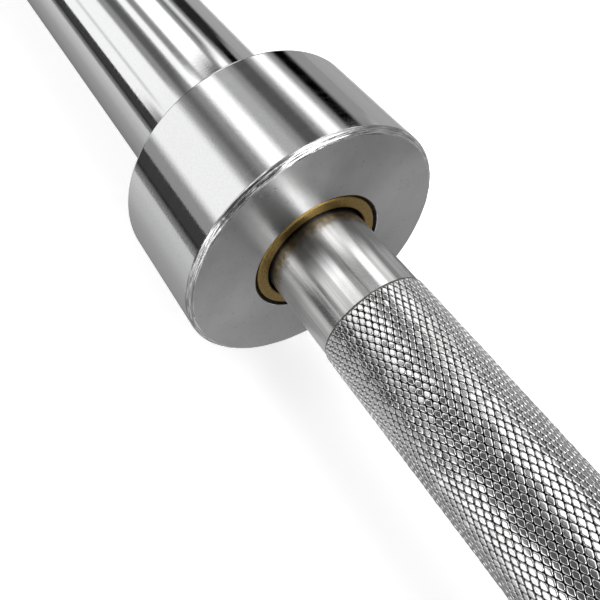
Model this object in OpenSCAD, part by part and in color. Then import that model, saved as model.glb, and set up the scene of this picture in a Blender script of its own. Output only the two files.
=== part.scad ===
// Olympic barbell: one steel shaft with a free-turning sleeve on each end.
// The bar lies along X. The origin is the middle of the bar, on its axis, and +Z is up.

/* [Bar] */
// Length over both sleeve ends
overall_len = 2200; // [2000:5:2300]
// Distance between the two collar faces
between_collars = 1310; // [1200:5:1320]

/* [Shaft] */
// Diameter of the plain shaft between the sleeves
shaft_d = 29.4; // [29:0.1:29.8]
// Height of the knurl's crests over the plain shaft
knurl_h = 0.4; // [0.2:0.05:0.6]
// Plain length between each collar and the grip's knurling
knurl_start = 25; // [10:1:60]
// Length of each knurled grip
knurl_len = 445; // [380:5:480]
// Length of the knurled patch in the middle
centre_knurl_len = 120; // [60:5:200]
// Distance between the two plain ring marks, middle to middle
ring_mark_spacing = 910; // [810:10:950]
// Width of each ring mark
ring_mark_w = 5; // [3:0.5:8]
// Diameter of the journal that runs in each inner bushing
inner_journal_d = 28; // [27.6:0.1:28.2]
// Diameter of the relieved stretch between the two journals
relief_d = 26.5; // [26:0.1:27.4]
// Diameter of the journal that runs in each outer bushing
outer_journal_d = 25; // [24:0.1:25.6]
// Length of shaft that stands past each retaining ring
shaft_tail = 3; // [2:0.5:5]
// Chamfer on the shaft's ends
shaft_chamfer = 1; // [0.5:0.1:1.5]

/* [Collar] */
// Outer diameter of the collar
collar_d = 77; // [70:0.5:90]
// Length of the collar
collar_len = 36; // [28:1:45]
// Rounding of the collar's front edge
collar_edge_r = 1.8; // [0.5:0.1:3]
// Chamfer on the collar's rear edge
collar_rear_chamfer = 0.8; // [0.3:0.1:1.5]
// Thickness of the lip that covers the tube's inner end
lip_len = 8; // [7:0.5:12]
// Diameter of the tube's turned-down end inside the collar
spigot_d = 48; // [46:0.5:49]
// Chamfer round the bushing in the collar's face
mouth_chamfer = 0.87; // [0.4:0.05:1.2]

/* [Sleeve tube] */
// Outer diameter of the sleeve, for 50 mm plates
sleeve_d = 50; // [49:0.1:50.5]
// Bore of the sleeve tube
sleeve_bore = 35; // [33:0.1:35.6]
// Bore of the seat that holds the outer bushing
bushing_seat_d = 38; // [37:0.1:38.6]
// Bore of the recess that holds the end cap
cap_recess_d = 42; // [41:0.1:42.6]
// Chamfer on the sleeve's outer end
sleeve_chamfer = 1.5; // [0.5:0.1:2]

/* [Bushings] */
// Outer diameter of the inner bushing's flange, seen in the collar's face
flange_d = 37.6; // [37:0.1:39]
// Depth of the flange's face below the collar's face
flange_inset = 0.3; // [0.1:0.05:1]
// Rounding of the flange's outer edge
flange_edge_r = 0.9; // [0.3:0.1:1.2]
// Bore of the mouth that clears the plain shaft
mouth_d = 30.7; // [30.2:0.1:31.5]
// Depth of that mouth below the collar's face
mouth_depth = 6; // [4:0.5:7]
// Length of the inner bushing
inner_bushing_len = 40; // [30:1:60]
// Length of the outer bushing, without its hub
outer_bushing_len = 30; // [20:1:50]
// Outer diameter of the outer bushing's hub
hub_d = 28.6; // [28:0.1:28.8]
// Length of the outer bushing's hub
hub_len = 2.4; // [2.2:0.1:3.5]
// Gap between a journal and its bushing, on the radius
running_gap = 0.06; // [0.02:0.01:0.1]
// Play of the sleeve along the shaft at each of its two stops
end_play = 0.3; // [0.1:0.05:0.6]

/* [Washers] */
// Outer diameter of the thrust washer and the support washer
washer_d = 35; // [32:0.5:36]
// Thickness of the thrust washer
thrust_washer_t = 2; // [1:0.1:3]
// Thickness of the support washer
support_washer_t = 1.5; // [1:0.1:2.5]
// Gap between a washer and the shaft, on the radius
washer_gap = 0.1; // [0.02:0.01:0.1]
// Gap between neighbours in the stack of washers
stack_gap = 0.1; // [0.05:0.01:0.2]

/* [Retaining rings] */
// Thickness of the ring on the shaft
shaft_ring_t = 1.2; // [1:0.1:1.5]
// Depth of its groove
shaft_groove_depth = 0.55; // [0.4:0.05:0.8]
// Thickness of the ring that holds the outer bushing
bushing_ring_t = 1.5; // [1.2:0.1:1.6]
// Depth of its groove
bushing_groove_depth = 1.25; // [0.8:0.05:1.4]
// Thickness of the ring that holds the end cap
cap_ring_t = 1.75; // [1.5:0.05:2]
// Depth of its groove
cap_groove_depth = 1.25; // [0.8:0.05:1.4]
// Play of each ring in its groove
ring_play = 0.1; // [0.05:0.01:0.15]
// Radial width of a ring opposite its gap
ring_w = 3.6; // [3:0.1:3.8]
// Radial width of a ring beside its lugs
ring_w_at_lugs = 2.2; // [1.6:0.1:2.6]
// Radial height of a ring's lugs
lug_h = 4.8; // [4.4:0.1:5]
// Diameter of the plier holes in the lugs
lug_hole_d = 2; // [1.5:0.1:2.5]
// Gap between a ring's two lugs
lug_gap = 5; // [3:0.5:7]

/* [End cap] */
// Thickness of the end cap
cap_t = 3; // [2.5:0.1:5]
// Gap between the end cap and its recess, on the radius
cap_gap = 0.1; // [0.05:0.01:0.2]
// Depth of the end cap's ring below the sleeve's end
cap_ring_inset = 2.5; // [2:0.1:4]
// Diameter of the shallow dish in the end cap's face
cap_dish_d = 28; // [20:0.5:30]
// Depth of that dish
cap_dish_depth = 0.8; // [0.3:0.1:1.2]
// Free room between the end cap and the shaft's end
cap_room = 3; // [1:0.5:6]

/* [Hidden] */

$fn = 96;
LEFT = -1;
RIGHT = 1;

// Radii
shaft_r = shaft_d / 2;
knurl_r = shaft_r + knurl_h;
inner_journal_r = inner_journal_d / 2;
relief_r = relief_d / 2;
outer_journal_r = outer_journal_d / 2;
collar_r = collar_d / 2;
spigot_r = spigot_d / 2;
sleeve_r = sleeve_d / 2;
bore_r = sleeve_bore / 2;
seat_r = bushing_seat_d / 2;
recess_r = cap_recess_d / 2;
flange_r = flange_d / 2;
mouth_r = mouth_d / 2;
washer_bore_r = outer_journal_r + washer_gap;
shaft_groove_r = outer_journal_r - shaft_groove_depth;
bushing_groove_r = seat_r + bushing_groove_depth;
cap_groove_r = recess_r + cap_groove_depth;

// Places along a sleeve are measured outboard from its collar's front face.
face_x = between_collars / 2;
sleeve_end = (overall_len - between_collars) / 2;

// End cap, inboard from the sleeve's end
cap_groove_out = sleeve_end - cap_ring_inset;
cap_groove_in = cap_groove_out - cap_ring_t - ring_play;
cap_seat = cap_groove_in - cap_t;

// Shaft's end and the stack on it, inboard from the end cap
shaft_end = cap_seat - cap_room;
shaft_groove_out = shaft_end - shaft_tail;
shaft_groove_in = shaft_groove_out - shaft_ring_t - ring_play;
support_washer_out = shaft_groove_in - stack_gap;
thrust_washer_out = support_washer_out - support_washer_t - stack_gap;
hub_end = thrust_washer_out - thrust_washer_t - end_play;
bushing_groove_in = hub_end - hub_len;
bushing_groove_out = bushing_groove_in + bushing_ring_t + ring_play;
outer_bushing_in = bushing_groove_in - outer_bushing_len;

// Inner bushing and the shoulder that it thrusts on
inner_bushing_end = flange_inset + inner_bushing_len;
shoulder = mouth_depth - end_play;
relief_slope = 2;
relief_start = inner_bushing_end + relief_slope;
outer_journal_start = outer_bushing_in - relief_slope;

// Small edges
shoulder_step = sleeve_r - spigot_r;
shoulder_chamfer = 0.3;
bush_chamfer = 0.6;
cap_chamfer = 0.4;
past = 1;

// Puts what is drawn along +Z, outboard from a collar's face, on the left or right end.
module on_side(side)
{
    if (side == LEFT)
        mirror([1, 0, 0])
            along_bar(face_x) children();
    else
        along_bar(face_x) children();
}

// Turns +Z to +X and moves the start to x.
module along_bar(x)
{
    translate([x, 0, 0])
        rotate([0, 90, 0])
            children();
}

// A turned piece from its half section, drawn as radius across and place along the bar up.
module turned()
{
    rotate_extrude()
        children();
}

// Half section of a plain ring or tube.
module section(r_in, r_out, from, to)
{
    translate([r_in, from])
        square([r_out - r_in, to - from]);
}

// What a 45 degree chamfer takes off the corner at [r, at]. The signs say where the metal lies.
module chamfer_cut(r, at, size, r_sign, at_sign)
{
    polygon([
        [r - r_sign * past, at - at_sign * past],
        [r + r_sign * (size + past), at - at_sign * past],
        [r - r_sign * past, at + at_sign * (size + past)]
    ]);
}

// What a rounding takes off an outer corner at [r, at]. The sign says where the metal lies along the bar.
module round_cut(r, at, size, at_sign)
{
    difference() {
        translate([r - size, at_sign > 0 ? at - past : at - size])
            square([size + past, size + past]);
        translate([r - size, at + at_sign * size])
            circle(size);
    }
}

// A knurled stretch, as the points of the shaft's half section from one place to another.
function knurled(from, to) = [
    [shaft_r, from],
    [knurl_r, from + knurl_h],
    [knurl_r, to - knurl_h],
    [shaft_r, to]
];

// The one-piece shaft: knurled grips between the collars, stepped journals inside the sleeves.
module shaft()
{
    grip_out = face_x - knurl_start;
    grip_in = grip_out - knurl_len;
    mark_in = (ring_mark_spacing - ring_mark_w) / 2;
    mark_out = (ring_mark_spacing + ring_mark_w) / 2;
    half = concat(
        [
            [knurl_r, centre_knurl_len / 2 - knurl_h],
            [shaft_r, centre_knurl_len / 2]
        ],
        knurled(grip_in, mark_in),
        knurled(mark_out, grip_out),
        [
            [shaft_r, face_x + shoulder - shoulder_chamfer],
            [shaft_r - shoulder_chamfer, face_x + shoulder],
            [inner_journal_r, face_x + shoulder],
            [inner_journal_r, face_x + inner_bushing_end],
            [relief_r, face_x + relief_start],
            [relief_r, face_x + outer_journal_start - relief_slope],
            [outer_journal_r, face_x + outer_journal_start],
            [outer_journal_r, face_x + shaft_groove_in],
            [shaft_groove_r, face_x + shaft_groove_in],
            [shaft_groove_r, face_x + shaft_groove_out],
            [outer_journal_r, face_x + shaft_groove_out],
            [outer_journal_r, face_x + shaft_end - shaft_chamfer],
            [outer_journal_r - shaft_chamfer, face_x + shaft_end],
            [0, face_x + shaft_end]
        ]
    );
    other_half = [for (i = [len(half) - 1:-1:0]) [half[i][0], -half[i][1]]];
    color("silver")
        along_bar(0)
            turned()
                polygon(concat(other_half, half));
}

// The collar that the plates stop against, a ring with a lip over the tube's inner end.
module collar(side)
{
    color("gainsboro")
        on_side(side)
            turned()
                difference() {
                    section(flange_r, collar_r, 0, collar_len);
                    section(0, spigot_r, lip_len, collar_len + past);
                    chamfer_cut(spigot_r, collar_len, shoulder_step, 1, -1);
                    round_cut(collar_r, 0, collar_edge_r, 1);
                    chamfer_cut(collar_r, collar_len, collar_rear_chamfer, -1, -1);
                    chamfer_cut(flange_r, 0, mouth_chamfer, 1, 1);
                }
}

// The tube that carries the plates. Its turned-down end fills the collar and its sloped shoulder
// ends level with the collar's rear face. Inside are the seats for the bushings and the end cap.
module sleeve_tube(side)
{
    color("gainsboro")
        on_side(side)
            turned()
                difference() {
                    section(bore_r, sleeve_r, lip_len, sleeve_end);
                    polygon([
                        [spigot_r, lip_len - past],
                        [sleeve_r + past, lip_len - past],
                        [sleeve_r + past, collar_len + past],
                        [spigot_r, collar_len - shoulder_step]
                    ]);
                    section(0, seat_r, outer_bushing_in, sleeve_end + past);
                    section(0, recess_r, cap_seat, sleeve_end + past);
                    section(0, bushing_groove_r, bushing_groove_in, bushing_groove_out);
                    section(0, cap_groove_r, cap_groove_in, cap_groove_out);
                    chamfer_cut(sleeve_r, sleeve_end, sleeve_chamfer, -1, -1);
                    chamfer_cut(recess_r, sleeve_end, cap_chamfer, 1, -1);
                }
}

// The flanged bronze bushing whose face shows in the collar.
module inner_bushing(side)
{
    color("darkgoldenrod")
        on_side(side)
            turned()
                difference() {
                    union() {
                        section(0, flange_r, flange_inset, lip_len);
                        section(0, bore_r, lip_len - past, inner_bushing_end);
                    }
                    section(0, mouth_r, 0, mouth_depth);
                    section(0, inner_journal_r + running_gap, mouth_depth - past, inner_bushing_end + past);
                    round_cut(flange_r, flange_inset, flange_edge_r, 1);
                    chamfer_cut(mouth_r, flange_inset, shoulder_chamfer, 1, 1);
                    chamfer_cut(bore_r, inner_bushing_end, bush_chamfer, -1, -1);
                }
}

// The bronze bushing near the shaft's end. Its hub stands through the ring that holds it.
module outer_bushing(side)
{
    color("darkgoldenrod")
        on_side(side)
            turned()
                difference() {
                    union() {
                        section(0, seat_r, outer_bushing_in, bushing_groove_in);
                        section(0, hub_d / 2, bushing_groove_in - past, hub_end);
                    }
                    section(0, outer_journal_r + running_gap, outer_bushing_in - past, hub_end + past);
                    chamfer_cut(seat_r, outer_bushing_in, bush_chamfer, -1, 1);
                }
}

// A flat washer on the outer journal.
module washer(side, out, thickness)
{
    on_side(side)
        turned()
            section(washer_bore_r, washer_d / 2, out - thickness, out);
}

// The loose bronze washer that takes the sleeve's outward thrust.
module thrust_washer(side)
{
    color("darkgoldenrod")
        washer(side, thrust_washer_out, thrust_washer_t);
}

// The steel washer that backs the shaft's retaining ring.
module support_washer(side)
{
    color("lightsteelblue")
        washer(side, support_washer_out, support_washer_t);
}

// Places a pair of lugs beside a ring's gap, at this radius.
module at_lugs(r)
{
    aside = lug_gap / 2 + lug_h / 2;
    for (way = [-1, 1])
        translate([way * aside, -sqrt(r * r - aside * aside)])
            children();
}

// The gap and the plier holes that are cut in a ring.
module ring_cuts(lug_r)
{
    reach = lug_r + lug_h;
    translate([-lug_gap / 2, -reach])
        square([lug_gap, reach]);
    at_lugs(lug_r)
        circle(d = lug_hole_d);
}

// A retaining ring in a bore's groove: widest opposite its gap, with lugs that point inwards.
module internal_ring(groove_r, thickness)
{
    lug_r = groove_r - lug_h / 2;
    mean_w = (ring_w + ring_w_at_lugs) / 2;
    off_centre = (ring_w - ring_w_at_lugs) / 2;
    linear_extrude(thickness)
        difference() {
            union() {
                difference() {
                    circle(groove_r);
                    translate([0, -off_centre])
                        circle(groove_r - mean_w);
                }
                at_lugs(lug_r)
                    circle(d = lug_h);
            }
            ring_cuts(lug_r);
        }
}

// A retaining ring in a shaft's groove, with lugs that point outwards.
module external_ring(groove_r, thickness)
{
    lug_r = groove_r + lug_h / 2;
    mean_w = (ring_w + ring_w_at_lugs) / 2;
    off_centre = (ring_w - ring_w_at_lugs) / 2;
    linear_extrude(thickness)
        difference() {
            union() {
                translate([0, off_centre])
                    circle(groove_r + mean_w);
                at_lugs(lug_r)
                    circle(d = lug_h);
            }
            circle(groove_r);
            ring_cuts(lug_r);
        }
}

// The ring that keeps the outer bushing on its seat in the tube.
module bushing_retaining_ring(side)
{
    color("dimgray")
        on_side(side)
            translate([0, 0, bushing_groove_in + ring_play / 2])
                internal_ring(bushing_groove_r, bushing_ring_t);
}

// The ring on the shaft that keeps the sleeve from sliding off.
module shaft_retaining_ring(side)
{
    color("dimgray")
        on_side(side)
            translate([0, 0, shaft_groove_in + ring_play / 2])
                external_ring(shaft_groove_r, shaft_ring_t);
}

// The plain cap that closes the sleeve's outer end.
module end_cap(side)
{
    cap_face = cap_seat + cap_t;
    color("gainsboro")
        on_side(side)
            turned()
                difference() {
                    section(0, recess_r - cap_gap, cap_seat, cap_face);
                    section(0, cap_dish_d / 2, cap_face - cap_dish_depth, cap_face + past);
                    chamfer_cut(recess_r - cap_gap, cap_face, cap_chamfer, -1, -1);
                }
}

// The ring that holds the end cap.
module end_cap_retaining_ring(side)
{
    color("dimgray")
        on_side(side)
            translate([0, 0, cap_groove_in + ring_play / 2])
                internal_ring(cap_groove_r, cap_ring_t);
}

shaft();
collar(LEFT);  // left_collar
collar(RIGHT);  // right_collar
sleeve_tube(LEFT);  // left_sleeve_tube
sleeve_tube(RIGHT);  // right_sleeve_tube
inner_bushing(LEFT);  // left_inner_bushing
inner_bushing(RIGHT);  // right_inner_bushing
outer_bushing(LEFT);  // left_outer_bushing
outer_bushing(RIGHT);  // right_outer_bushing
bushing_retaining_ring(LEFT);  // left_bushing_retaining_ring
bushing_retaining_ring(RIGHT);  // right_bushing_retaining_ring
thrust_washer(LEFT);  // left_thrust_washer
thrust_washer(RIGHT);  // right_thrust_washer
support_washer(LEFT);  // left_support_washer
support_washer(RIGHT);  // right_support_washer
shaft_retaining_ring(LEFT);  // left_shaft_retaining_ring
shaft_retaining_ring(RIGHT);  // right_shaft_retaining_ring
end_cap(LEFT);  // left_end_cap
end_cap(RIGHT);  // right_end_cap
end_cap_retaining_ring(LEFT);  // left_end_cap_retaining_ring
end_cap_retaining_ring(RIGHT);  // right_end_cap_retaining_ring
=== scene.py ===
import math

import bmesh
import bpy
import numpy as np
from mathutils import Matrix, Vector, noise as noise_field


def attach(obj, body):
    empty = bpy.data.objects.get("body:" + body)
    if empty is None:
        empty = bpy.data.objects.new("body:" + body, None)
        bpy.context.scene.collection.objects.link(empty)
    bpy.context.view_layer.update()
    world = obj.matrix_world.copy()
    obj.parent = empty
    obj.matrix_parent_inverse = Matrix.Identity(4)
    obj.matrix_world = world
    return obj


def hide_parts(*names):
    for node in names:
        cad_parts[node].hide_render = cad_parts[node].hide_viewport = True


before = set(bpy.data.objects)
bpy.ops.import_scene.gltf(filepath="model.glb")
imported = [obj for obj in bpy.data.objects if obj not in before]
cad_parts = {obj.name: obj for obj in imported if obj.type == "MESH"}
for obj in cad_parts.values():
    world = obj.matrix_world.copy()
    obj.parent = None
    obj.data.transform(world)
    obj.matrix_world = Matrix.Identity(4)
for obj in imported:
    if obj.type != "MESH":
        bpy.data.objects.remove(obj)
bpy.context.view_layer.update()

# Main sizes of the bar in metres, the same values as the solids have. FACE_X is the place of a
# collar's front face, and TUBE_START and SHOULDER are measured from it and from the collar's back.
FACE_X = 0.655
COLLAR_LEN = 0.036
COLLAR_R = 0.0385
RIM_R = 0.0018
TUBE_START = 0.008
SHOULDER = 0.001
SPIGOT_R = 0.024
SLEEVE_R = 0.025
FLANGE_R = 0.0188
SHAFT_R = 0.0147
KNURL_BANDS = {
    "left_outer_grip": (-0.630, -0.4575),
    "left_inner_grip": (-0.4525, -0.185),
    "middle_patch": (-0.060, 0.060),
    "right_inner_grip": (0.185, 0.4525),
    "right_outer_grip": (0.4575, 0.630),
}
# Radii of a knurl tooth at heights 1 and 0. The plates are at 1, and the pits reach below 0.
PLATE_R = 0.01504
PIT_R = 0.01452
FLOOR_Z = -COLLAR_R


# Node helpers
def new_material(name):
    mat = bpy.data.materials.new(name)
    mat.use_nodes = True
    mat.node_tree.nodes.clear()
    return mat, mat.node_tree


def add(tree, kind, **settings):
    """A new node with its inputs and properties set. A node or socket given as a value is linked."""
    node = tree.nodes.new(kind)
    for key, value in settings.items():
        if key.startswith("in_"):
            socket = node.inputs[key[3:].replace("_", " ")]
        elif key.startswith("at_"):
            socket = node.inputs[int(key[3:])]
        else:
            setattr(node, key, value)
            continue
        if isinstance(value, bpy.types.Node):
            value = value.outputs[0]
        if isinstance(value, bpy.types.NodeSocket):
            tree.links.new(value, socket)
        else:
            socket.default_value = value
    return node


def object_coords(tree, scale):
    coords = add(tree, "ShaderNodeTexCoord")
    return add(tree, "ShaderNodeMapping", in_Vector=coords.outputs["Object"], in_Scale=scale)


def split_coords(tree):
    coords = add(tree, "ShaderNodeTexCoord")
    return add(tree, "ShaderNodeSeparateXYZ", in_Vector=coords.outputs["Object"])


def axis_distance(tree, split):
    """The distance from the X axis, from the split coordinates."""
    flat = add(tree, "ShaderNodeCombineXYZ", at_1=split.outputs[1], at_2=split.outputs[2])
    return add(tree, "ShaderNodeVectorMath", operation="LENGTH", at_0=flat).outputs["Value"]


def noise(tree, scale, detail=3.0, stretch=(1, 1, 1), rough=0.5):
    where = object_coords(tree, stretch)
    return add(tree, "ShaderNodeTexNoise", in_Vector=where, in_Scale=scale, in_Detail=detail,
               in_Roughness=rough).outputs["Fac"]


def ramp(tree, fac, low, high, over=(0.0, 1.0)):
    """low up to the start of over, high from its end on, and an even change between."""
    return add(tree, "ShaderNodeMapRange", at_0=fac, at_1=over[0], at_2=over[1], at_3=low,
               at_4=high).outputs[0]


def math_node(tree, operation, *values):
    """What a Math node makes of one to three values."""
    inputs = {f"at_{k}": value for k, value in enumerate(values)}
    return add(tree, "ShaderNodeMath", operation=operation, **inputs).outputs[0]


def blend_colours(tree, fac, first, second):
    return add(tree, "ShaderNodeMix", data_type="RGBA", at_0=fac, at_6=first, at_7=second).outputs[2]


def grey(level, tint=(1, 1, 1)):
    return (level * tint[0], level * tint[1], level * tint[2], 1)


# The turn that spreads highlights across the marks, and a dark colour that is oily dirt with painted
# shade
QUARTER_TURN = 0.25
OIL_AND_SHADE = (0.09, 0.075, 0.055, 1)


def finish_metal(mat, tree, colour, roughness, normal=None, turned=0.0):
    """A metal from its parts. turned is how strongly fine marks round the X axis spread the
    reflections across them."""
    shader = add(tree, "ShaderNodeBsdfPrincipled", in_Metallic=1.0, in_Base_Color=colour,
                 in_Roughness=roughness)
    if normal is not None:
        tree.links.new(normal, shader.inputs["Normal"])
    if turned:
        round_axis = add(tree, "ShaderNodeTangent", direction_type="RADIAL", axis="X")
        tree.links.new(round_axis.outputs[0], shader.inputs["Tangent"])
        shader.inputs["Anisotropic"].default_value = turned
        shader.inputs["Anisotropic Rotation"].default_value = QUARTER_TURN
    add(tree, "ShaderNodeOutputMaterial", in_Surface=shader)
    return mat


def bump(tree, height, distance, strength):
    return add(tree, "ShaderNodeBump", in_Height=height, in_Distance=distance,
               in_Strength=strength).outputs[0]


# Metals. level is how bright a metal is, and rough its mean roughness.
def chrome(name, level, rough):
    """Bright plating: faint cloudiness, fine marks round the bar, and a soft grain."""
    mat, tree = new_material(name)
    clouds = noise(tree, scale=30, detail=4)
    marks = noise(tree, scale=900, detail=2, stretch=(1, 0.05, 0.05))
    grain = noise(tree, scale=1800, detail=2)
    even = blend_colours(tree, clouds, grey(level * 0.96), grey(level, (0.995, 1, 1.01)))
    colour = blend_colours(tree, grain, grey(level * 0.86), even)
    change = 0.35
    marked = ramp(tree, marks, rough * (1 - change), rough * (1 + change), over=(0.3, 0.7))
    return finish_metal(mat, tree, colour, marked, bump(tree, grain, distance=0.000008, strength=0.6))


def turned_face(name, level, rough):
    """A faced-off end: grooves round the middle, so highlights fan out from it."""
    mat, tree = new_material(name)
    radius = axis_distance(tree, split_coords(tree))
    grooves = add(tree, "ShaderNodeTexNoise", noise_dimensions="1D", in_W=radius,
                  in_Scale=9000.0, in_Detail=2.0).outputs["Fac"]
    clouds = ramp(tree, noise(tree, scale=70, detail=5, rough=0.6), 0.0, 1.0, over=(0.3, 0.7))
    specks = ramp(tree, noise(tree, scale=800, detail=3), 0.0, 0.5, over=(0.62, 0.78))
    clean = blend_colours(tree, clouds, grey(level * 0.88), grey(level * 1.1))
    colour = blend_colours(tree, specks, clean, grey(level * 0.4))
    return finish_metal(mat, tree, colour, ramp(tree, clouds, rough * 0.85, rough * 1.15),
                        bump(tree, grooves, distance=0.000002, strength=0.5), turned=0.9)


def rubbed_rim(name, level, rough):
    """A corner rounded by hand: bright, with rubbed streaks that run round the edge."""
    mat, tree = new_material(name)
    split = split_coords(tree)
    turn = math_node(tree, "ARCTAN2", split.outputs[2], split.outputs[1])
    around = math_node(tree, "MULTIPLY", turn, 0.002)
    stretched = add(tree, "ShaderNodeCombineXYZ", at_0=split.outputs[0], at_1=axis_distance(tree, split),
                    at_2=around)
    streaks = add(tree, "ShaderNodeTexNoise", in_Vector=stretched, in_Scale=2400.0, in_Detail=3.0,
                  in_Roughness=0.6).outputs["Fac"]
    worn = ramp(tree, streaks, 0.0, 1.0, over=(0.35, 0.6))
    colour = blend_colours(tree, worn, grey(level * 0.3), grey(level))
    return finish_metal(mat, tree, colour, ramp(tree, worn, rough * 2.0, rough),
                        bump(tree, streaks, distance=0.00018, strength=0.8))


def satin_steel(name, level, rough):
    """Ground bar steel: fine stripes along it, faint marks round it, and from the bushings outward
    a dark colour that is partly oily dirt and partly painted shade."""
    mat, tree = new_material(name)
    from_middle = math_node(tree, "ABSOLUTE", split_coords(tree).outputs[0])
    spots = math_node(tree, "MULTIPLY", noise(tree, scale=700, detail=5), 0.005)
    spotted = math_node(tree, "ADD", from_middle, spots)
    # Painted shade with oily dirt: dark from just before the shaft goes into a bushing, and inside it
    oil_and_shade = ramp(tree, spotted, 0.0, 0.75, over=(FACE_X - 0.0017, FACE_X + 0.0015))
    along = noise(tree, scale=1500, detail=3, stretch=(0.02, 1, 1))
    around = noise(tree, scale=2500, detail=2, stretch=(1, 0.03, 0.03))
    clouds = noise(tree, scale=45, detail=4)
    striped = ramp(tree, along, 0.0, 1.0, over=(0.35, 0.65))
    clean = blend_colours(tree, striped, grey(level * 0.88, (1, 0.995, 0.985)), grey(level * 1.05))
    colour = blend_colours(tree, oil_and_shade, clean, OIL_AND_SHADE)
    roughness = ramp(tree, clouds, rough * 0.8, rough * 1.2, over=(0.35, 0.65))
    return finish_metal(mat, tree, colour, roughness,
                        bump(tree, around, distance=0.000003, strength=0.4), turned=1.0)


def knurled_steel(name, level, rough):
    """The cut knurl: bright plates, and painted shade in the grooves, darkest in the pits where grooves
    cross.
    """
    mat, tree = new_material(name)
    radius = axis_distance(tree, split_coords(tree))
    speckle = noise(tree, scale=1500, detail=2)
    bright = blend_colours(tree, speckle, grey(level * 0.9), grey(level * 1.06))
    # Painted shade: the colour darkens with depth below the plates, to near black in the pits
    low = ramp(tree, radius, 0.0, 1.0, over=(PIT_R - 0.00010, PIT_R + 0.00040))
    high = ramp(tree, radius, 0.0, 1.0, over=(PIT_R + 0.00034, PLATE_R - 0.00006))
    painted_groove_shade = blend_colours(tree, low, grey(0.015), grey(level * 0.35, (1, 0.99, 0.97)))
    colour = blend_colours(tree, high, painted_groove_shade, bright)
    return finish_metal(mat, tree, colour, ramp(tree, high, rough * 2.2, rough),
                        bump(tree, speckle, distance=0.00001, strength=0.5))


def painted_gap_shade(name):
    """Painted shade in a narrow recess: near black, with faint brown spots."""
    mat, tree = new_material(name)
    spots = ramp(tree, noise(tree, scale=900, detail=4), 0.0, 1.0, over=(0.4, 0.65))
    colour = blend_colours(tree, spots, grey(0.008), grey(0.05, (1, 0.9, 0.75)))
    return finish_metal(mat, tree, colour, ramp(tree, spots, 0.6, 0.45))


def bronze(name):
    """Sintered bearing bronze: golden brown, speckled, and darkened along its inner edge with painted
    shade at the mouth of its bore.
    """
    brown, golden, pore = (0.30, 0.20, 0.062, 1), (0.40, 0.275, 0.09, 1), (0.14, 0.09, 0.03, 1)
    mat, tree = new_material(name)
    speckle = noise(tree, scale=2600, detail=4, rough=0.7)
    clouds = noise(tree, scale=160, detail=4)
    light = blend_colours(tree, clouds, brown, golden)
    spotted = blend_colours(tree, ramp(tree, speckle, 0.0, 1.0, over=(0.36, 0.52)), pore, light)
    radius = axis_distance(tree, split_coords(tree))
    # Painted shade: nearly black towards the bore, where the shaft goes in
    bore_painted_shade = ramp(tree, radius, 1.0, 0.0, over=(SHAFT_R + 0.0007, SHAFT_R + 0.0012))
    colour = blend_colours(tree, bore_painted_shade, spotted, (0.03, 0.022, 0.012, 1))
    return finish_metal(mat, tree, colour, ramp(tree, clouds, 0.32, 0.42),
                        bump(tree, speckle, distance=0.00003, strength=0.6))


def spring_steel(name):
    """Blackened spring steel with worn, lighter patches."""
    mat, tree = new_material(name)
    wear = ramp(tree, noise(tree, scale=300, detail=5), 0.0, 1.0, over=(0.5, 0.75))
    colour = blend_colours(tree, wear, grey(0.055), grey(0.22))
    return finish_metal(mat, tree, colour, ramp(tree, wear, 0.42, 0.3))


CHROME = chrome("collar_chrome_plate", 0.85, 0.07)
SLEEVE_CHROME = chrome("sleeve_chrome_plate", 0.85, 0.07)
FACE = turned_face("turned_face", 0.50, 0.30)
CAP = turned_face("turned_cap", 0.62, 0.3)
RIM = rubbed_rim("rubbed_rim", 0.85, 0.1)
SATIN = satin_steel("satin_shaft_steel", 0.79, 0.22)
KNURL = knurled_steel("knurled_shaft_steel", 0.78, 0.16)
# Painted shade for the narrow gap between a collar and its bushing
GAP_SHADE = painted_gap_shade("groove_painted_shade")
BRONZE = bronze("bearing_bronze")
SPRING = spring_steel("blackened_spring_steel")
WASHER = satin_steel("washer_steel", 0.55, 0.25)


# Turned pieces. FACING, ON_RIM, ON_SIDE and IN_GAP are the places of a collar's four materials.
FACING, ON_RIM, ON_SIDE, IN_GAP = range(4)
SHARP_ANGLE = math.radians(20.0)
COLLAR_SEGMENTS = 720
BAR_SEGMENTS = 360
RUB_DEPTH = 0.00017


def lathe(name, profile, segments, materials, closed=False):
    """A body of revolution about X. profile is rows of (x, radius, material index of the strip
    that starts there). A radius of 0 closes an end."""
    bm = bmesh.new()
    rings = []
    for x, r, _ in profile:
        if r == 0:
            rings.append([bm.verts.new((x, 0, 0))] * segments)
            continue
        turns = [2 * math.pi * i / segments for i in range(segments)]
        rings.append([bm.verts.new((x, r * math.cos(t), r * math.sin(t))) for t in turns])
    strips = len(rings) if closed else len(rings) - 1
    for k in range(strips):
        first, second = rings[k], rings[(k + 1) % len(rings)]
        for i in range(segments):
            j = (i + 1) % segments
            corners = []
            for v in (first[i], first[j], second[j], second[i]):
                if v not in corners:
                    corners.append(v)
            face = bm.faces.new(corners)
            face.smooth = True
            face.material_index = profile[k][2]
    bmesh.ops.recalc_face_normals(bm, faces=bm.faces)
    for edge in bm.edges:
        if len(edge.link_faces) == 2 and edge.calc_face_angle() > SHARP_ANGLE:
            edge.smooth = False
    mesh = bpy.data.meshes.new(name)
    bm.to_mesh(mesh)
    bm.free()
    obj = bpy.data.objects.new(name, mesh)
    bpy.context.scene.collection.objects.link(obj)
    for mat in materials:
        mesh.materials.append(mat)
    return obj


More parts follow.
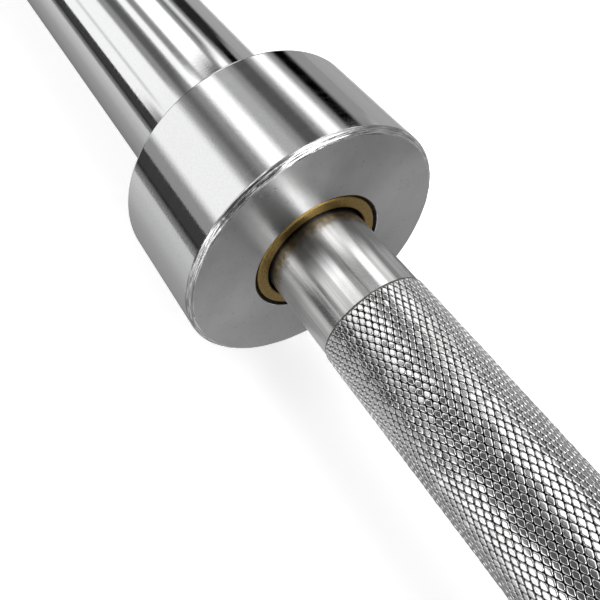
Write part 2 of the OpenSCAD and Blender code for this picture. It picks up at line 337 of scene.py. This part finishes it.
def collar_profile(side):
    """The collar's closed outline, from the bushing's seat over face, rim and side to the back."""
    rear, mouth, burr, beside = 0.0008, 0.00087, 0.0002, 0.0001
    rim_steps, rear_steps, first_turn = 24, 6, 0.2
    rows = [(TUBE_START, FLANGE_R, IN_GAP), (mouth, FLANGE_R, IN_GAP),
            (burr, FLANGE_R + mouth - burr, ON_RIM), (0.0, FLANGE_R + mouth, FACING)]
    for i in range(rim_steps + 1):
        t = first_turn + i / rim_steps * (math.pi / 2 - first_turn)
        s, r = RIM_R * (math.cos(first_turn) - math.cos(t)), COLLAR_R - RIM_R * (1 - math.sin(t))
        rows.append((s, r, ON_RIM if i < rim_steps else ON_SIDE))
    rows += [(RIM_R + beside, COLLAR_R, ON_SIDE), (COLLAR_LEN - rear - beside, COLLAR_R, ON_SIDE)]
    for i in range(rear_steps + 1):
        t = i / rear_steps * math.pi / 2
        s, r = COLLAR_LEN - rear * (1 - math.sin(t)), COLLAR_R - rear * (1 - math.cos(t))
        rows.append((s, r, ON_SIDE if i < rear_steps else FACING))
    rows += [(COLLAR_LEN, SLEEVE_R, ON_SIDE), (COLLAR_LEN - SHOULDER, SPIGOT_R, ON_SIDE),
             (TUBE_START, SPIGOT_R, ON_SIDE)]
    return [(side * (FACE_X + s), r, m) for s, r, m in rows]


def roughen_rim(obj, side):
    """The hand-polished front rim: small flats and scratches that run along the edge."""
    marks_round, marks_across, apart, slant = 6, 3, 20, 0.7
    spread, gap, octaves = 0.9, 2.2, 4
    for v in obj.data.vertices:
        s = side * v.co.x - FACE_X
        r = math.hypot(v.co.y, v.co.z)
        depth = min(s, COLLAR_R - r) / RIM_R
        if depth < 1e-4 or s > RIM_R or r < COLLAR_R - RIM_R:
            continue
        wander = 0.4 * math.sin(5 * math.atan2(v.co.z, v.co.y))
        across = math.atan2(s, COLLAR_R - r) + wander
        where = Vector((marks_round * v.co.y / r, marks_round * v.co.z / r + apart * side,
                        marks_across * across))
        mark = noise_field.fractal(where, spread, gap, octaves)
        shift = RUB_DEPTH * min(1, 4 * depth) * (mark - 1)
        v.co.x -= side * shift * slant
        v.co.y *= (r + shift * slant) / r
        v.co.z *= (r + shift * slant) / r


def groove(outer, inner, wall_r, floor_r):
    """A ring's groove, as four points of an outline that runs inward."""
    return [(outer, wall_r), (outer, floor_r), (inner, floor_r), (inner, wall_r)]


def sleeve_profile(side):
    """The tube's closed outline, the same seats and grooves as the solid has."""
    end, chamfer, edge = 0.445, 0.0015, 0.0004
    cap_seat, bushing_seat = 0.43765, 0.39395
    bore_r, seat_r, recess_r = 0.0175, 0.019, 0.021
    rows = [(TUBE_START, bore_r), (TUBE_START, SPIGOT_R), (COLLAR_LEN - SHOULDER, SPIGOT_R),
            (COLLAR_LEN, SLEEVE_R), (end - chamfer, SLEEVE_R), (end, SLEEVE_R - chamfer),
            (end, recess_r + edge), (end - edge, recess_r),
            *groove(0.4425, 0.44065, recess_r, 0.02225), (cap_seat, recess_r), (cap_seat, seat_r),
            *groove(0.42555, 0.42395, seat_r, 0.02025), (bushing_seat, seat_r),
            (bushing_seat, bore_r)]
    return [(side * (FACE_X + s), r, 0) for s, r in rows]


def shaft_profile():
    """The shaft's outline. Under the knurling, which is made of pieces of its own, it lies below the
    deepest pits."""
    end, chamfer, cone, shoulder, edge = 0.43465, 0.001, 0.002, 0.0057, 0.0003
    outer_end, inner_end = 0.39195, 0.0423
    outer_r, middle_r, inner_r, under = 0.0125, 0.01325, 0.014, SHAFT_R - 0.0008
    half = [(end, 0.0), (end, outer_r - chamfer), (end - chamfer, outer_r),
            *groove(0.43165, 0.43035, outer_r, 0.01195), (outer_end, outer_r),
            (outer_end - cone, middle_r), (inner_end, middle_r), (inner_end - cone, inner_r),
            (shoulder, inner_r), (shoulder, SHAFT_R - edge), (shoulder - edge, SHAFT_R)]
    rows = [(-FACE_X - s, r, 0) for s, r in half]
    for start, stop in sorted(KNURL_BANDS.values()):
        rows += [(start, SHAFT_R, 0), (start, under, 0), (stop, under, 0), (stop, SHAFT_R, 0)]
    rows += [(FACE_X + s, r, 0) for s, r in reversed(half)]
    return rows


# Knurling. ROUND teeth go round the bar, HALF_PITCH is half a tooth's length, and the knurl dies
# out over FADE_LENGTH at a band's ends. The rest says how far the teeth differ: the points above
# PLATE_FROM lean and lift together, and stay under HIGHEST.
ROUND = 54
HALF_PITCH = 0.00146
ROWS_PER_PIECE = 60
FADE_LENGTH = 0.0007
PLATE_FROM = 0.75
SIZE_SPREAD = 0.035
LEAN_SPREAD = 0.08
LIFT_SPREAD = 0.04
HIGHEST = 1.12
SLIVER = 1e-12
SEED = 7


def diamond():
    """One raised diamond as rows of (along, across, height) from its middle, in half diagonals, and
    its triangles. Height 1 is at PLATE_R and height 0 at PIT_R. The plate's corners are cut, its
    edge is rounded, and where the grooves cross there is a deep pit."""
    corners = np.array([(1, 0), (0, 1), (-1, 0), (0, -1)], float)
    following = np.roll(corners, -1, axis=0)
    long_cut, short_cut = 0.24, 0.10
    ring = []
    for i in range(4):
        cut_here, cut_next = (long_cut, short_cut) if i % 2 == 0 else (short_cut, long_cut)
        for t in (cut_here, 1 - cut_next):
            ring.append(corners[i] + (following[i] - corners[i]) * t)
    ring = np.array(ring)
    layers = [(corners, -0.6), ((corners + following) / 2, 0.45), (ring * 0.84, 0.94),
              (ring * 0.72, 1.0), (ring * 0.45, 1.0), (np.zeros((1, 2)), 1.0)]
    points = np.concatenate([np.column_stack([xy, np.full(len(xy), h)]) for xy, h in layers])
    # Points 0 to 3 are the corners, 4 to 7 the sides' middles, 8 to 31 three rings, and 32 the middle
    faces = []
    for i in range(4):
        here, after, middle = i, (i + 1) % 4, 4 + i
        first, second, before = 8 + 2 * i, 9 + 2 * i, 8 + (2 * i - 1) % 8
        faces += [(here, middle, first), (middle, second, first), (middle, after, second),
                  (here, first, before)]
    for k in range(8):
        n = (k + 1) % 8
        for outer in (8, 16):
            inner = outer + 8
            faces += [(outer + k, outer + n, inner + n), (outer + k, inner + n, inner + k)]
        faces.append((24 + k, 24 + n, 32))
    return points, np.array(faces)


def knurl(name, start, pitch, rows, fade, rng):
    """Rows of diamonds as one mesh, every plate with its own lean, which meet along the grooves.
    fade is where the band starts and ends."""
    points, faces = diamond()
    row, turn = np.meshgrid(rows, np.arange(ROUND), indexing="ij")
    centre_x = start + row.ravel() * pitch
    centre_t = 2 * math.pi * (turn.ravel() + (row.ravel() % 2) / 2) / ROUND
    count = len(centre_x)
    along, across, height = (points[None, :, k].repeat(count, 0) for k in range(3))
    raised = height > PLATE_FROM
    size = np.where(raised, 1 - np.abs(rng.normal(0, SIZE_SPREAD, (count, 1))), 1)
    lean = rng.normal(0, LEAN_SPREAD, (count, 2))
    lift = rng.normal(0, LIFT_SPREAD, (count, 1))
    tilt = lift + lean[:, :1] * along + lean[:, 1:] * across
    height = np.where(raised, np.minimum(height + tilt, HIGHEST), height)
    x = centre_x[:, None] + along * size * pitch
    turn_at = centre_t[:, None] + across * size * math.pi / ROUND
    inside = np.clip(np.minimum(x - fade[0], fade[1] - x) / FADE_LENGTH, 0, 1)
    x = np.clip(x, *fade)
    radius = SHAFT_R + (PIT_R + height * (PLATE_R - PIT_R) - SHAFT_R) * inside
    co = np.stack([x, radius * np.cos(turn_at), radius * np.sin(turn_at)], -1).reshape(-1, 3)
    index = (faces[None] + len(points) * np.arange(count)[:, None, None]).reshape(-1, 3)
    a, b, c = (co[index[:, i]] for i in range(3))
    index = index[np.linalg.norm(np.cross(b - a, c - a), axis=1) > SLIVER]
    mesh = bpy.data.meshes.new(name)
    mesh.vertices.add(len(co))
    mesh.vertices.foreach_set("co", co.astype(np.float32).ravel())
    mesh.loops.add(index.size)
    mesh.loops.foreach_set("vertex_index", index.astype(np.int32).ravel())
    mesh.polygons.add(len(index))
    mesh.polygons.foreach_set("loop_start", (3 * np.arange(len(index))).astype(np.int32))
    mesh.polygons.foreach_set("use_smooth", np.ones(len(index), bool))
    mesh.update(calc_edges=True)
    mesh.validate()
    mesh.materials.append(KNURL)
    obj = bpy.data.objects.new(name, mesh)
    bpy.context.scene.collection.objects.link(obj)
    return obj


rng = np.random.default_rng(SEED)
for side, sign in (("left", -1), ("right", 1)):
    collar = lathe(f"{side}_collar_turned", collar_profile(sign), COLLAR_SEGMENTS,
                   [FACE, RIM, CHROME, GAP_SHADE], closed=True)
    roughen_rim(collar, sign)
    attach(collar, f"{side}_sleeve")
    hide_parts(f"{side}_collar")
    tube = lathe(f"{side}_sleeve_turned", sleeve_profile(sign), BAR_SEGMENTS, [SLEEVE_CHROME],
                 closed=True)
    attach(tube, f"{side}_sleeve")
    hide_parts(f"{side}_sleeve_tube")

core = lathe("shaft_turned", shaft_profile(), BAR_SEGMENTS, [SATIN])
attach(core, "shaft")
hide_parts("shaft")
for name, (start, end) in KNURL_BANDS.items():
    last_row = round((end - start) / HALF_PITCH)
    for part, first_row in enumerate(range(0, last_row + 1, ROWS_PER_PIECE), 1):
        rows = np.arange(first_row, min(first_row + ROWS_PER_PIECE, last_row + 1))
        pitch = (end - start) / last_row
        band = knurl(f"{name}_knurl_{part}", start, pitch, rows, (start, end), rng)
        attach(band, "shaft")
        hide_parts("shaft")

# Finishes of the solids that stay
CAD_FINISH = {
    "inner_bushing": BRONZE, "outer_bushing": BRONZE, "thrust_washer": BRONZE,
    "support_washer": WASHER, "bushing_retaining_ring": SPRING, "shaft_retaining_ring": SPRING,
    "end_cap_retaining_ring": SPRING, "end_cap": CAP}
for node_name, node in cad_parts.items():
    finish = CAD_FINISH.get(node_name.partition("_")[2])
    if finish is not None:
        node.data.materials.clear()
        node.data.materials.append(finish)


# Studio: a half tube of light round the bar, which the camera does not see. Every zone along X has
# its own soft boxes and flags, as (from, to, feather, level) over a grey ground. Turns are degrees
# from +Y, with +Z at 90. STATIONS are the places along X where a zone starts and ends.
GROUND = 0.33
TENT_R = 3.0
TENT_TURNS = np.arange(-1.0, 182.0)
END_GLOW = 0.1
LIGHTS = {
    "sleeve": [(9, 32, 6, 0.02), (37, 43, 4, 0.9), (46, 49, 3, 0.15), (55, 81, 5, 1.5),
               (86, 88, 4, 0.25), (92, 102, 4, 1.2), (105, 117, 6, 0.12), (127, 173, 6, 1.15),
               (151, 155, 4, 0.75), (179, 193, 5, 0.02)],
    "collar": [(17, 30, 6, 0.0), (37, 49, 7, 1.4), (55, 68, 6, 0.1), (74, 88, 6, 0.5),
               (87, 101, 8, 1.5), (109, 117, 8, 0.15), (124, 160, 9, 1.1), (175, 190, 5, 0.05)],
    "shaft": [(-10, 6, 5, 0.6), (10, 16, 4, 0.2), (24, 40, 8, 1.05), (44, 61, 6, 1.9),
              (67, 84, 6, 0.2), (86, 90, 4, 0.0), (102, 128, 8, 1.8), (128, 150, 5, 1.15),
              (154, 160, 4, 0.1), (160, 163, 3, 0.6), (165, 190, 3, 0.0)],
    "grip": [(20, 28, 6, 0.1), (42, 84, 8, 1.9), (98, 150, 10, 0.1), (158, 190, 6, 1.9)],
    "dim": [(42, 84, 8, 0.5), (98, 150, 8, 0.08), (158, 190, 6, 0.4)],
    "far_end": [(6, 32, 8, 0.12), (48, 80, 10, 7.0), (100, 178, 12, 0.03), (186, 190, 6, 0.5)]}
STATIONS = [(-9.0, "sleeve"), (-4.4, "sleeve"), (-4.12, "collar"), (-2.9, "collar"),
            (-2.6, "shaft"), (-1.6, "shaft"), (-1.3, "dim"), (-1.1, "dim"), (-0.95, "grip"),
            (2.2, "grip"), (3.0, "far_end"), (9.0, "far_end")]


def tent_arch(x):
    """The tent's points at x."""
    return [(x, TENT_R * math.cos(t), TENT_R * math.sin(t)) for t in np.radians(TENT_TURNS)]


def arch_glow(lights):
    """How bright each point of an arch is."""
    level = np.full(len(TENT_TURNS), GROUND)
    for start, end, feather, wanted in lights:
        edge = np.minimum(TENT_TURNS - start, end - TENT_TURNS) / feather + 0.5
        share = np.clip(edge, 0, 1)
        share = share * share * (3 - 2 * share)
        level = level * (1 - share) + wanted * share
    return level


def stage_mesh(name, verts, faces, material, glow=None, **flags):
    """A piece of the studio, with a glow at each point if it is a lamp."""
    mesh = bpy.data.meshes.new(name)
    mesh.from_pydata(verts, [], faces)
    mesh.materials.append(material)
    if glow is not None:
        mesh.attributes.new("glow", "FLOAT", "POINT").data.foreach_set("value", glow)
    obj = bpy.data.objects.new(name, mesh)
    bpy.context.scene.collection.objects.link(obj)
    for flag, value in flags.items():
        setattr(obj, flag, value)
    return obj


def lamp_material(name):
    """A sheet that shines by its mesh's own glow."""
    mat, tree = new_material(name)
    own = add(tree, "ShaderNodeAttribute", attribute_name="glow").outputs["Fac"]
    shine = add(tree, "ShaderNodeEmission", in_Color=(1, 1, 1, 1), in_Strength=own)
    add(tree, "ShaderNodeOutputMaterial", in_Surface=shine)
    return mat


LAMP = lamp_material("studio_lamp")
width = len(TENT_TURNS)
verts = [point for x, _ in STATIONS for point in tent_arch(x)]
faces = [(s * width + i, s * width + i + 1, (s + 1) * width + i + 1, (s + 1) * width + i)
         for s in range(len(STATIONS) - 1) for i in range(width - 1)]
glow = np.concatenate([arch_glow(LIGHTS[zone]) for _, zone in STATIONS])
stage_mesh("studio_tent", verts, faces, LAMP, glow, visible_camera=False)
stage_mesh("studio_end_flag", tent_arch(STATIONS[0][0]), [tuple(range(width))], LAMP,
           np.full(width, END_GLOW), visible_camera=False)

# Cards near the bar, seen only in the metal. A standing card is x from, x to, and rows of
# (y, z, glow). A paper lies just over the floor, and its rows are (y, glow).
PAPER_Z = FLOOR_Z + 0.0002
CARDS = {
    "low_flag": (-2.5, -0.62, [(-0.27, PAPER_Z, 0.2), (-0.27, -0.03, 0.2), (-0.27, -0.02, 0.12),
                               (-0.27, -0.013, 0.02), (-0.27, 0.0, 0.05), (-0.27, 0.05, 0.05)]),
    "low_card": (-2.5, -0.61, [(0.125, PAPER_Z, 0.38), (0.13, 0.0, 0.42), (0.125, 0.034, 0.4)]),
    "grip_card": (-0.61, 2.5, [(0.125, PAPER_Z, 0.3), (0.13, 0.0, 0.32), (0.125, 0.034, 0.32)])}
# Most papers glow less towards the bar: painted shade of the floor under the bar, which only the metal
# sees.
PAPERS = {
    "paper_left": (-2.5, -FACE_X, [(-0.268, 0.16), (-0.245, 0.25), (-0.22, 0.65), (-0.16, 0.64),
                                   (-0.1, 0.52), (-0.07, 0.38), (-0.05, 0.32), (-0.03, 0.24),
                                   (-0.01, 0.25)]),
    "paper_face": (-FACE_X, -0.61, [(-0.3, 0.55), (-0.02, 0.5), (0.01, 0.36), (0.03, 0.36),
                                    (0.05, 0.5), (0.12, 0.5)]),
    "paper_grip": (-0.61, -0.48, [(-0.35, 1.6), (-0.13, 1.3), (-0.09, 0.7), (-0.05, 0.33),
                                  (0.0, 0.22), (0.03, 0.28), (0.12, 0.32)]),
    "paper_shade": (-0.48, 2.5, [(-0.35, 0.3), (-0.05, 0.25), (0.0, 0.22), (0.03, 0.28),
                                 (0.12, 0.32)]),
    "paper_near": (-0.72, -FACE_X, [(0.02, 0.2), (0.12, 0.2)]),
    "paper_right": (-2.5, -0.72, [(0.085, 0.85), (0.1, 0.7), (0.124, 0.48)])}
for name, (x_from, x_to, rows) in PAPERS.items():
    CARDS[name] = (x_from, x_to, [(y, PAPER_Z, level) for y, level in rows])
for name, (x_from, x_to, rows) in CARDS.items():
    corners = [(x, y, z) for y, z, _ in rows for x in (x_from, x_to)]
    faces = [(2 * k, 2 * k + 1, 2 * k + 3, 2 * k + 2) for k in range(len(rows) - 1)]
    stage_mesh(f"studio_{name}", corners, faces, LAMP, np.repeat([g for *_, g in rows], 2),
               visible_camera=False, visible_diffuse=False, visible_shadow=False)

# Floor, plain and pale: lifted to white where it shows, less so in the metal, and fading to a
# plain white far from the bar
FLOOR_R = 2.95
FLOOR_SIDES = 96
FADE_FROM, FADE_TO = 1.6, 2.8
LIFT_SEEN, LIFT_IN_METAL = 0.62, 0.25
floor_mat, tree = new_material("studio_floor")
coords = add(tree, "ShaderNodeTexCoord")
distance = add(tree, "ShaderNodeVectorMath", operation="LENGTH", at_0=coords.outputs["Object"])
fade = add(tree, "ShaderNodeMapRange", at_0=distance.outputs["Value"], at_1=FADE_FROM, at_2=FADE_TO,
           at_3=0.0, at_4=1.0, interpolation_type="SMOOTHSTEP")
rays = add(tree, "ShaderNodeLightPath")
in_metal = math_node(tree, "MAXIMUM", rays.outputs["Is Glossy Ray"], rays.outputs["Is Transmission Ray"])
lift_in_metal = math_node(tree, "MULTIPLY", in_metal, LIFT_IN_METAL)
lift = math_node(tree, "MULTIPLY_ADD", rays.outputs["Is Camera Ray"], LIFT_SEEN, lift_in_metal)
paper = add(tree, "ShaderNodeBsdfDiffuse", in_Color=(0.92, 0.92, 0.92, 1))
lifted = add(tree, "ShaderNodeEmission", in_Color=(1, 1, 1, 1), in_Strength=lift)
sheet = add(tree, "ShaderNodeAddShader", at_0=paper, at_1=lifted)
haze = add(tree, "ShaderNodeEmission", in_Color=(1, 1, 1, 1), in_Strength=1.0)
mixed = add(tree, "ShaderNodeMixShader", at_0=fade, at_1=sheet, at_2=haze)
add(tree, "ShaderNodeOutputMaterial", in_Surface=mixed)
floor_turns = np.linspace(0, 2 * math.pi, FLOOR_SIDES + 1)[:-1]
ring = [(FLOOR_R * math.cos(t), FLOOR_R * math.sin(t), 0) for t in floor_turns]
floor = stage_mesh("studio_floor", ring, [tuple(range(FLOOR_SIDES))], floor_mat)
floor.location = (0, 0, FLOOR_Z)

# World: plain white
world = bpy.data.worlds.new("studio_world")
world.use_nodes = True
bpy.context.scene.world = world
tree = world.node_tree
tree.nodes.clear()
back = add(tree, "ShaderNodeBackground", in_Color=(1, 1, 1, 1), in_Strength=1.0)
add(tree, "ShaderNodeOutputWorld", in_Surface=back)

# Camera, with the place and the turn that were fitted to the photo
CAMERA_PLACE = (-0.57326, -0.05831, 0.12750)
FOCAL_LENGTH = 36.09
camera_data = bpy.data.cameras.new("camera")
camera = bpy.data.objects.new("camera", camera_data)
bpy.context.scene.collection.objects.link(camera)
bpy.context.scene.camera = camera
right = Vector((0.5395, 0.8420, 0.0)).normalized()
forward = Vector((-0.4684, 0.3001, -0.8310)).normalized()
up = right.cross(forward)
turn = Matrix((right, up, -forward)).transposed()
camera.matrix_world = Matrix.Translation(CAMERA_PLACE) @ turn.to_4x4()
camera_data.sensor_width = 36.0
camera_data.lens = FOCAL_LENGTH
camera_data.clip_start = 0.005
camera_data.clip_end = 50.0

view_settings = bpy.context.scene.view_settings
view_settings.view_transform = "Standard"
